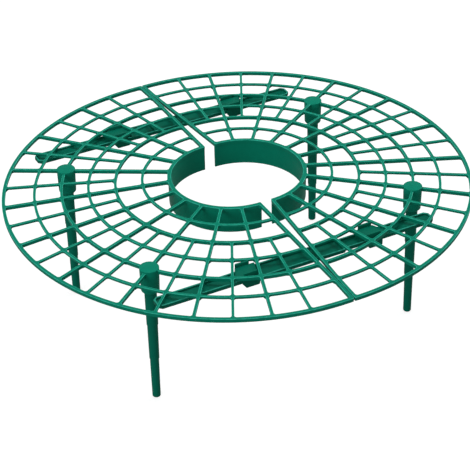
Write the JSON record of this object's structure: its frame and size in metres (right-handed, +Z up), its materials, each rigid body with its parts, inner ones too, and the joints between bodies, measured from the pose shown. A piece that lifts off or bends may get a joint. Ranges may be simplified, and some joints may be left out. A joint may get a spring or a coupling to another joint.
{
  "type": "strawberry plant support",
  "caption": "Round ribbed grid in two halves on push-in legs. It closes round a plant and keeps fruit and leaves off the soil.",
  "frame": {"origin": "on the ground, in the middle of the plant opening", "axes": "+Z up. +X is square to the seam between the halves, towards the right half. +Y runs along the seam."},
  "size_m": [0.3112, 0.302, 0.1048],
  "materials": {
    "grid_green": "satin",
    "leg_green": "satin",
    "connector_green": "satin"
  },
  "bodies": {
    "frame": {"left_grid": "grid_green", "right_grid": "grid_green"},
    "back_left_leg": {"leg_back_left": "leg_green"},
    "back_right_leg": {"leg_back_right": "leg_green"},
    "front_left_leg": {"leg_front_left": "leg_green"},
    "front_right_leg": {"leg_front_right": "leg_green"},
    "back_connector": {"connector_back": "connector_green"},
    "front_connector": {"connector_front": "connector_green"}
  },
  "joints": [
    {"name": "back_left_leg_pull", "type": "slide", "parent": "frame", "child": "back_left_leg", "axis": [0, 0, -1], "range_m": [0, 0.0144]},
    {"name": "back_right_leg_pull", "type": "slide", "parent": "frame", "child": "back_right_leg", "axis": [0, 0, -1], "range_m": [0, 0.0144]},
    {"name": "front_left_leg_pull", "type": "slide", "parent": "frame", "child": "front_left_leg", "axis": [0, 0, -1], "range_m": [0, 0.0144]},
    {"name": "front_right_leg_pull", "type": "slide", "parent": "frame", "child": "front_right_leg", "axis": [0, 0, -1], "range_m": [0, 0.0144]},
    {"name": "back_connector_pull", "type": "slide", "parent": "frame", "child": "back_connector", "axis": [0, 0, -1], "range_m": [0, 0.005]},
    {"name": "front_connector_pull", "type": "slide", "parent": "frame", "child": "front_connector", "axis": [0, 0, -1], "range_m": [0, 0.005]}
  ]
}
